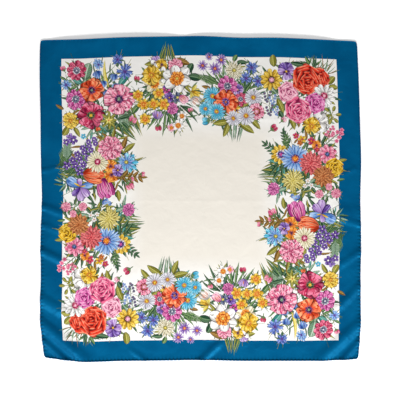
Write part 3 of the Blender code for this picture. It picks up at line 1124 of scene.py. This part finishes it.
def rim_of(flat, faces):
    """The outer edge's points in order round the square."""
    half_edges = np.concatenate([faces[:, [0, 1]], faces[:, [1, 2]], faces[:, [2, 0]]])
    keys = np.sort(half_edges, axis=1) @ [len(flat), 1]
    _, first, uses = np.unique(keys, return_index=True, return_counts=True)
    following = dict(half_edges[first[uses == 1]].tolist())
    rim = [min(following, key=lambda point: tuple(flat[point]))]
    while following[rim[-1]] != rim[0]:
        rim.append(following[rim[-1]])
    return np.array(rim)


# The sheet: its underside, the thin edge all round, and its face. Dye goes through silk, so both carry
# the print, and the underside's outlines are coarser.
face_flat, face_faces, face_ink = cut(*FACE_DETAIL)
back_flat, back_faces, back_ink = cut(*BACK_DETAIL)
back_count = len(back_flat)
low, high = rim_of(back_flat, back_faces), rim_of(face_flat, face_faces) + back_count
next_low, next_high = np.roll(low, -1), np.roll(high, -1)
edge_faces = np.concatenate([np.stack([low, next_low, next_high], 1), np.stack([low, next_high, high], 1)])
corners = np.concatenate([back_faces[:, ::-1], edge_faces, face_faces + back_count])
ink = np.concatenate([back_ink, np.zeros(len(edge_faces), int), face_ink])
places = np.concatenate([lie(*back_flat.T, CLOTH_BASE), lie(*face_flat.T, CLOTH_BASE + CLOTH_THICKNESS)])
flat = np.concatenate([back_flat, face_flat])

panel_mesh = bpy.data.meshes.new("printed_panel")
panel_mesh.vertices.add(len(places))
panel_mesh.vertices.foreach_set("co", places.astype(np.float32).ravel())
panel_mesh.loops.add(corners.size)
panel_mesh.loops.foreach_set("vertex_index", corners.astype(np.int32).ravel())
panel_mesh.polygons.add(len(corners))
panel_mesh.polygons.foreach_set("loop_start", np.arange(0, corners.size, 3, dtype=np.int32))
panel_mesh.update(calc_edges=True)
panel_mesh.shade_smooth()
panel_mesh.set_sharp_from_angle(angle=math.radians(60))


def column(name):
    """One value of the shape that each face shows; the border and the field have none."""
    return np.array([0.0, 0.0] + [part[name] for part in drawn])[ink]


def per_face(name, values):
    """Stores four values for each face."""
    layer = panel_mesh.attributes.new(name, "FLOAT_COLOR", "FACE")
    layer.data.foreach_set("color", values.astype(np.float32).ravel())


# Each shape's own frame: u along it from root to tip, v across it from -1 to 1.
angle = np.radians(column("turn"))[:, None]
length, width = np.maximum(column("length"), 1)[:, None], np.maximum(column("width"), 1)[:, None]
dx = flat[corners][:, :, 0] - column("x")[:, None]
dy = flat[corners][:, :, 1] - column("y")[:, None]
u = (dx * np.cos(angle) + dy * np.sin(angle)) / length
v = (dy * np.cos(angle) - dx * np.sin(angle)) / (width / 2)
seed, depth = (np.repeat(column(name)[:, None], 3, 1) for name in ("seed", "depth"))
spot = np.stack([u, v, seed, depth], -1)
layer = panel_mesh.attributes.new("spot", "FLOAT_COLOR", "CORNER")
layer.data.foreach_set("color", spot.astype(np.float32).ravel())
peak = np.maximum(column("peak"), 0.01)
per_face("cut", np.stack([column("alpha"), column("gamma"), column("arch"), peak], -1))
tones = np.array([[[1.0] * 4] * 3] * 2 + [[linear(tone) for tone in INKS[part["ink"]]] for part in drawn])
for k, name in enumerate(("ink_body", "ink_shade", "ink_light")):
    per_face(name, tones[ink, k])
layer = panel_mesh.attributes.new("weave", "FLOAT_VECTOR", "POINT")
layer.data.foreach_set("vector", np.c_[flat, 0 * flat[:, 0]].astype(np.float32).ravel())
# How hard the stitches pinch the cloth near the edge: the border dye paints shade into these nicks.
pull, between = stitch_pull(*flat.T)
layer = panel_mesh.attributes.new("pinch", "FLOAT", "POINT")
layer.data.foreach_set("value", (pull * (1 - between) ** 2).astype(np.float32))
layer = panel_mesh.uv_layers.new(name="OFBake")
layer.uv.foreach_set("vector", (0.5 + flat[corners] / (2 * PANEL_REACH) * 0.994).astype(np.float32).ravel())
DYES = ("border", "field", "petal", "rose", "leaf", "heart", "stem")
dye_of = np.array([0, 1] + [DYES.index(part["dye"]) for part in drawn])[ink]
panel_mesh.polygons.foreach_set("material_index", dye_of.astype(np.int32))


Math, Mix, Range = "ShaderNodeMath", "ShaderNodeMix", "ShaderNodeMapRange"
soft = dict(interpolation_type="SMOOTHSTEP")


# Silk twill of about 16 momme: filament silk in a 2/2 twill, so it has a soft slanting sheen and no fuzz.
# Its ribs are 0.35 mm apart; they are drawn 1.1 mm apart so that they show close by. Slack places in the
# laid cloth give it low, broad ripples.
def silk(name, dye, weave=None, roughness=0.48, ripple=0.5, gloss="#FFFFFF", shine=0.1):
    material = bpy.data.materials.new(name)
    material.use_nodes = True
    tree = material.node_tree
    shader = tree.nodes["Principled BSDF"]
    if weave:
        place = add(tree, "ShaderNodeAttribute", attribute_name=weave)[1]
    else:
        own = add(tree, "ShaderNodeTexCoord")[3]
        place = add(tree, "ShaderNodeVectorMath", own, (1000, 1000, 1000), operation="MULTIPLY")
    ribs = add(tree, "ShaderNodeTexWave", place, 0.404, 0.6, wave_type="BANDS", bands_direction="DIAGONAL")[1]
    slack = add(tree, "ShaderNodeTexNoise", place, 0.03, 3.0, 0.5, named={"Distortion": 0.4})
    rippled = add(tree, "ShaderNodeBump", ripple, 0.004, named={"Height": slack[0]})
    ribbed = add(tree, "ShaderNodeBump", 0.35, 0.00008, named={"Height": ribs, "Normal": rippled[0]})
    tree.links.new(ribbed[0], shader.inputs["Normal"])
    tree.links.new(dye(tree, place, ribs)[0], shader.inputs["Base Color"])
    for socket, value in (("Roughness", roughness), ("Specular IOR Level", shine),
                          ("Specular Tint", linear(gloss)), ("Sheen Weight", 0.01),
                          ("Sheen Roughness", 0.3), ("Sheen Tint", linear(gloss))):
        shader.inputs[socket].default_value = value
    return material


# Border: one flat dark sea-blue dye, a little uneven where the cloth took it up, with shade painted in where
# the hem's stitches draw it into small nicks; the rolled hem gets the same painted shade at each pinch.
def border_dye(tree, place, ribs):
    uneven = add(tree, "ShaderNodeTexNoise", place, 0.012, 2.0)
    taken_up = add(tree, Range, uneven, 0.35, 0.65, **soft)
    blue = add(tree, Mix, taken_up, linear("#014069"), linear("#024B75"), data_type="RGBA")
    ribbed = add(tree, Math, ribs, 0.1, operation="MULTIPLY")
    blue = add(tree, Mix, ribbed, blue, linear("#037AB0"), data_type="RGBA")
    # Painted shade: the blue darkens towards navy by how hard the stitches pinch the cloth there.
    pinched = add(tree, "ShaderNodeAttribute", attribute_name="pinch")[2]
    return add(tree, Mix, add(tree, Math, pinched, 1.8, operation="MULTIPLY", use_clamp=True), blue,
               linear("#011F36"), data_type="RGBA")


# Field: undyed ivory, warmer in the plain middle, cleaner white where the bunches stand.
def field_dye(tree, place, ribs):
    x, y, _ = add(tree, "ShaderNodeSeparateXYZ", place)
    outwards = add(tree, Math, add(tree, Math, x, operation="ABSOLUTE"),
                   add(tree, Math, y, operation="ABSOLUTE"), operation="MAXIMUM")
    ring_share = add(tree, Range, outwards, 150, 230, **soft)
    ground = add(tree, Mix, ring_share, linear("#E5DFD4"), linear("#EEECE8"), data_type="RGBA")
    ribbed = add(tree, Math, ribs, 0.12, operation="MULTIPLY")
    return add(tree, Mix, ribbed, ground, linear("#FFFDF8"), data_type="RGBA")


def spot_of(tree):
    """A printed shape's own coordinates: along it, across it, its seed and its shading depth."""
    spot = add(tree, "ShaderNodeAttribute", attribute_name="spot")
    along, across, seed = add(tree, "ShaderNodeSeparateColor", spot)
    along = add(tree, Math, add(tree, Math, along, 0.001, operation="MAXIMUM"), 0.999, operation="MINIMUM")
    return along[0], across, seed, spot[3]


def sideways(tree, u, v):
    """How far a place on a petal or leaf lies from its middle line, -1 to 1 at its outline."""
    cut = add(tree, "ShaderNodeAttribute", attribute_name="cut")
    alpha, gamma, arch = add(tree, "ShaderNodeSeparateColor", cut)
    rest = add(tree, Math, 1.0, u, operation="SUBTRACT")
    wide = add(tree, Math, add(tree, Math, u, alpha, operation="POWER"),
               add(tree, Math, rest, gamma, operation="POWER"), operation="MULTIPLY")
    wide = add(tree, Math, add(tree, Math, wide, cut[3], operation="DIVIDE"), 0.04, operation="MAXIMUM")
    bow = add(tree, Math, add(tree, Math, u, rest, operation="MULTIPLY"),
              add(tree, Math, arch, 4.0, operation="MULTIPLY"), operation="MULTIPLY")
    return add(tree, Math, add(tree, Math, v, bow, operation="SUBTRACT"), wide, operation="DIVIDE")


def inks_of(tree):
    """A shape's body, shade and light, and the near-black of its drawn lines."""
    body, shade, light = (add(tree, "ShaderNodeAttribute", attribute_name=name)[0]
                          for name in ("ink_body", "ink_shade", "ink_light"))
    line = add(tree, Mix, 1.0, shade, linear("#544E5C"), data_type="RGBA", blend_type="MULTIPLY")
    return body, shade, light, line[0]


def painted(tree, colour, coats):
    """Coats of ink over a colour: each grows from its weakest to its strongest between two values."""
    for measure, start, end, weakest, strongest, ink in coats:
        share = add(tree, Range, measure, start, end, weakest, strongest, **soft)
        colour = add(tree, Mix, share, colour, ink, data_type="RGBA")
    return colour


# Petals: shade at the root, body colour, streaks and a glow that run out from the root, and a dark outline.
def petal_dye(tree, place, ribs):
    body, shade, light, line = inks_of(tree)
    u, v, seed, depth = spot_of(tree)
    side = sideways(tree, u, v)
    off = add(tree, Math, side, operation="ABSOLUTE")
    grain = add(tree, "ShaderNodeCombineXYZ", *(add(tree, Math, value, scale, operation="MULTIPLY")
                                                for value, scale in ((u, 1.6), (side, 3.4), (seed, 60.0))))
    streak = add(tree, "ShaderNodeTexNoise", grain, 1.0, 3.0, 0.65)[0]
    rise = add(tree, Math, u, depth, operation="SUBTRACT")
    colour = painted(tree, shade, ((rise, 0.0, 0.42, 0.0, 1.0, body), (streak, 0.52, 0.64, 0.0, 0.9, shade)))
    glow = add(tree, Math, add(tree, Range, u, 0.4, 0.85, **soft),
               add(tree, Range, streak, 0.54, 0.42, **soft), operation="MULTIPLY")
    colour = add(tree, Mix, glow, colour, light, data_type="RGBA")
    turned_away, turned_up = (side, 0.05, 0.9, 0.0, 0.7, shade), (side, -0.1, -0.7, 0.0, 0.3, light)
    return painted(tree, colour, (turned_away, turned_up, (off, 0.78, 0.93, 0.0, 0.85, line)))


# Rose petals: smooth, from the shade under the petal before to a bright rolled rim.
def rose_dye(tree, place, ribs):
    body, shade, light, line = inks_of(tree)
    u, v, seed, depth = spot_of(tree)
    side = sideways(tree, u, v)
    off = add(tree, Math, side, operation="ABSOLUTE")
    shown = add(tree, Math, add(tree, Math, u, depth, operation="SUBTRACT"),
                add(tree, Math, 1.0, depth, operation="SUBTRACT"), operation="DIVIDE")
    grain = add(tree, "ShaderNodeCombineXYZ", shown, add(tree, Math, side, 2.0, operation="MULTIPLY"),
                add(tree, Math, seed, 60.0, operation="MULTIPLY"))
    cloudy = add(tree, "ShaderNodeTexNoise", grain, 1.0, 2.0)[0]
    rise = add(tree, Math, shown, add(tree, Range, cloudy, 0.3, 0.7, -0.18, 0.18), operation="ADD")
    cleft = add(tree, Mix, 0.5, shade, line, data_type="RGBA")
    return painted(tree, cleft, (
        (rise, 0.0, 0.16, 0.0, 1.0, shade),
        (rise, 0.1, 0.42, 0.0, 1.0, body),
        (rise, 0.6, 0.95, 0.0, 0.85, light),
        (side, 0.1, 0.9, 0.0, 0.5, shade),
        (off, 0.86, 0.97, 0.0, 0.8, cleft),
    ))


# Leaves: one half in the light, a pale midrib and side veins, a dark outline.
def leaf_dye(tree, place, ribs):
    body, shade, light, line = inks_of(tree)
    u, v, seed, depth = spot_of(tree)
    side = sideways(tree, u, v)
    off = add(tree, Math, side, operation="ABSOLUTE")
    slanted = add(tree, Math, add(tree, Math, u, 7.0, operation="MULTIPLY"),
                  add(tree, Math, off, 1.6, operation="MULTIPLY"), operation="SUBTRACT")
    veins = add(tree, Math, add(tree, Math, slanted, math.tau, operation="MULTIPLY"), operation="SINE")
    return painted(tree, body, (
        (side, -0.12, 0.12, 0.0, 0.42, light),
        (veins, 0.2, 0.95, 0.0, 0.55, shade),
        (u, 0.3, 0.0, 0.0, 0.7, shade),
        (off, 0.13, 0.06, 0.0, 1.0, light),
        (off, 0.78, 0.93, 0.0, 0.9, line),
    ))


# Hearts: a domed middle with the dots of its stamens.
def heart_dye(tree, place, ribs):
    body, shade, light, line = inks_of(tree)
    u, v, seed, depth = spot_of(tree)
    centred = add(tree, Math, add(tree, Math, u, 2.0, operation="MULTIPLY"), 1.0, operation="SUBTRACT")
    out = add(tree, Math, add(tree, Math, add(tree, Math, centred, 2.0, operation="POWER"),
                              add(tree, Math, v, v, operation="MULTIPLY"), operation="ADD"), operation="SQRT")
    at = add(tree, "ShaderNodeCombineXYZ", add(tree, Math, centred, 2.6, operation="MULTIPLY"),
             add(tree, Math, v, 2.6, operation="MULTIPLY"), add(tree, Math, seed, 60.0, operation="MULTIPLY"))
    dots = add(tree, "ShaderNodeTexVoronoi", at, 1.0)
    return painted(tree, body, ((out, 0.3, 0.95, 0.0, 1.0, shade), (dots, 0.42, 0.25, 0.0, 1.0, light)))


# Stalks: a light stripe down the middle of a dark line.
def stem_dye(tree, place, ribs):
    body, shade, light, line = inks_of(tree)
    u, v, seed, depth = spot_of(tree)
    off = add(tree, Math, sideways(tree, u, v), operation="ABSOLUTE")
    return painted(tree, shade, ((off, 0.85, 0.35, 0.0, 1.0, body), (off, 0.35, 0.1, 0.0, 0.7, light)))


for dye, make in zip(DYES, (border_dye, field_dye, petal_dye, rose_dye, leaf_dye, heart_dye, stem_dye)):
    surface = {"gloss": "#00BCFF", "shine": 1.0, "roughness": 0.42} if dye == "border" else {"ripple": 0.3}
    panel_mesh.materials.append(silk(f"silk_twill_{dye}", make, weave="weave", **surface))

panel = bpy.data.objects.new("printed_panel", panel_mesh)
bpy.context.scene.collection.objects.link(panel)
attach(panel, "root")
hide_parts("panel")


# ---------------------------------------------------------------------------------------------
# The hems: each edge rolled over towards the face by hand into a plump roll, and slip-stitched with
# silk thread about every centimetre. Every stitch pinches the roll a little.

HEM_ROLL = 3.0  # the roll's thickness
THREAD = 0.45  # the thread's thickness
STITCH_LEAN = 24.0  # degrees along the edge

hem_silk = silk("rolled_silk_twill", border_dye, ripple=0.2, roughness=0.4, gloss="#00BCFF", shine=1.0)
# Sewing thread: two-ply silk in the border's blue; its twist is 0.5 mm, drawn at 1 mm.
thread = bpy.data.materials.new("silk_sewing_thread")
thread.use_nodes = True
thread_shader = thread.node_tree.nodes["Principled BSDF"]
own = add(thread.node_tree, "ShaderNodeTexCoord")[3]
twist = add(thread.node_tree, "ShaderNodeTexWave", own, 440.0, 1.0, bands_direction="DIAGONAL")[1]
plies = add(thread.node_tree, Mix, twist, linear("#04304F"), linear("#1B6D9A"), data_type="RGBA")
thread.node_tree.links.new(plies[0], thread_shader.inputs["Base Color"])
thread_shader.inputs["Roughness"].default_value = 0.35

roll = bpy.data.node_groups.new("rolled_hem", "GeometryNodeTree")
roll.interface.new_socket("Edge line", in_out="INPUT", socket_type="NodeSocketGeometry")
for name, value in (("Roll radius", HEM_ROLL / 2000), ("Stitches", STITCHES),
                    ("Thread radius", THREAD / 2000), ("Pinch", 0.4)):
    roll.interface.new_socket(name, in_out="INPUT", socket_type="NodeSocketFloat").default_value = value
for name in ("Roll silk", "Stitch thread"):
    roll.interface.new_socket(name, in_out="INPUT", socket_type="NodeSocketMaterial")
roll.interface.new_socket("Hem", in_out="OUTPUT", socket_type="NodeSocketGeometry")
sizes_in = add(roll, "NodeGroupInput")
edge_line, roll_radius, stitches, thread_radius, pinch, roll_silk, stitch_thread = sizes_in[:7]

# The roll: a round section swept along the edge, narrower at every stitch.
path = add(roll, "GeometryNodeMeshToCurve", edge_line)
fine = add(roll, "GeometryNodeResampleCurve", named={"Curve": path, "Length": 0.0014}, mode="LENGTH")
run = add(roll, "GeometryNodeSplineParameter")[0]
turns = add(roll, Math, add(roll, Math, run, stitches, operation="MULTIPLY"), math.tau, operation="MULTIPLY")
at_stitch = add(roll, Math, add(roll, Math, turns, operation="COSINE"), 0.0, operation="MAXIMUM")
# Towards the front the stitches are drawn tight; at the back they hardly show.
place = add(roll, "ShaderNodeSeparateXYZ", add(roll, "GeometryNodeInputPosition"))
tight = add(roll, "ShaderNodeMapRange", place[1], 0.2, -0.15, 0.25, 1.0)
pinched = add(roll, Math, add(roll, Math, add(roll, Math, at_stitch, 4.0, operation="POWER"), pinch,
                              operation="MULTIPLY"), tight, operation="MULTIPLY")
# The pinch is also kept on the roll, where its silk paints shade into the pinched places.
kept = add(roll, "GeometryNodeStoreNamedAttribute", fine, True, "pinch", pinched, data_type="FLOAT")
plump = add(roll, Math, 1.0, pinched, operation="SUBTRACT")
section = add(roll, "GeometryNodeCurvePrimitiveCircle", 10, roll_radius)
swept = add(roll, "GeometryNodeCurveToMesh", kept, section, plump, True)
rolled = add(roll, "GeometryNodeSetMaterial", add(roll, "GeometryNodeSetShadeSmooth", swept),
             named={"Material": roll_silk})

# The stitches: a short thread over the roll at each pinch, leaning a little along the edge.
spots = add(roll, "GeometryNodeResampleCurve", path, True,
            add(roll, Math, stitches, 1.0, operation="ADD"), mode="COUNT")
over = add(roll, "GeometryNodeCurveArc", named={
    "Resolution": 9, "Radius": add(roll, Math, roll_radius, 0.84, operation="MULTIPLY"),
    "Start Angle": math.radians(-115), "Sweep Angle": math.radians(230)})
strand = add(roll, "GeometryNodeCurvePrimitiveCircle", 5, thread_radius)
loop = add(roll, "GeometryNodeCurveToMesh", over, strand, 1.0, True)
heading = add(roll, "GeometryNodeInputTangent")
across = add(roll, "FunctionNodeAlignRotationToVector", named={"Vector": heading}, axis="Z")
upright = add(roll, "FunctionNodeAlignRotationToVector", across, 1.0, (0, 0, 1), axis="X", pivot_axis="Z")
lean = add(roll, "FunctionNodeAxisAngleToRotation", (1, 0, 0), math.radians(STITCH_LEAN))
leaning = add(roll, "FunctionNodeRotateRotation", upright, lean, rotation_space="LOCAL")
sewn = add(roll, "GeometryNodeInstanceOnPoints",
           named={"Points": spots, "Instance": loop, "Rotation": leaning})
stitched = add(roll, "GeometryNodeSetMaterial", add(roll, "GeometryNodeRealizeInstances", sewn),
               named={"Material": stitch_thread})
joined = add(roll, "GeometryNodeJoinGeometry")
join = roll.nodes[-1]
for part in (rolled, stitched):
    roll.links.new(part[0], join.inputs[0])
roll.links.new(joined[0], roll.nodes.new("NodeGroupOutput").inputs[0])

HEM_ROWS = (
    # name: the axis it runs across, its side of the square, and its half length
    ("front", "v", -1, HALF - 0.2), ("back", "v", 1, HALF - 0.2),
    ("left", "u", -1, HEM_REACH - HEM_ROLL / 2), ("right", "u", 1, HEM_REACH - HEM_ROLL / 2),
)
for name, fixed, side, reach in HEM_ROWS:
    along = np.linspace(-reach, reach, 6 * STITCHES + 1)
    beside_it = np.full_like(along, side * (HALF - HEM_ROLL / 2 - 0.1))
    line = lie(*((beside_it, along) if fixed == "u" else (along, beside_it)), HEM_ROLL / 2000 + 0.0001)
    edge = bpy.data.meshes.new("edge_" + name)
    edge.from_pydata(line.tolist(), [(i, i + 1) for i in range(len(line) - 1)], [])
    maker = bpy.data.objects.new("edge_" + name, edge)
    bpy.context.scene.collection.objects.link(maker)
    modifier = maker.modifiers.new("rolled_hem", "NODES")
    modifier.node_group = roll
    inputs = {item.name: item.identifier for item in roll.interface.items_tree}
    modifier[inputs["Roll silk"]] = hem_silk
    modifier[inputs["Stitch thread"]] = thread
    made = bpy.data.meshes.new_from_object(maker.evaluated_get(bpy.context.evaluated_depsgraph_get()))
    bpy.data.objects.remove(maker)
    made.materials.pop(index=0)  # an empty slot that the join leaves
    made.name = "rolled_hem_" + name
    hem = bpy.data.objects.new("rolled_hem_" + name, made)
    bpy.context.scene.collection.objects.link(hem)
    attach(hem, "root")
    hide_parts("hem_" + name)
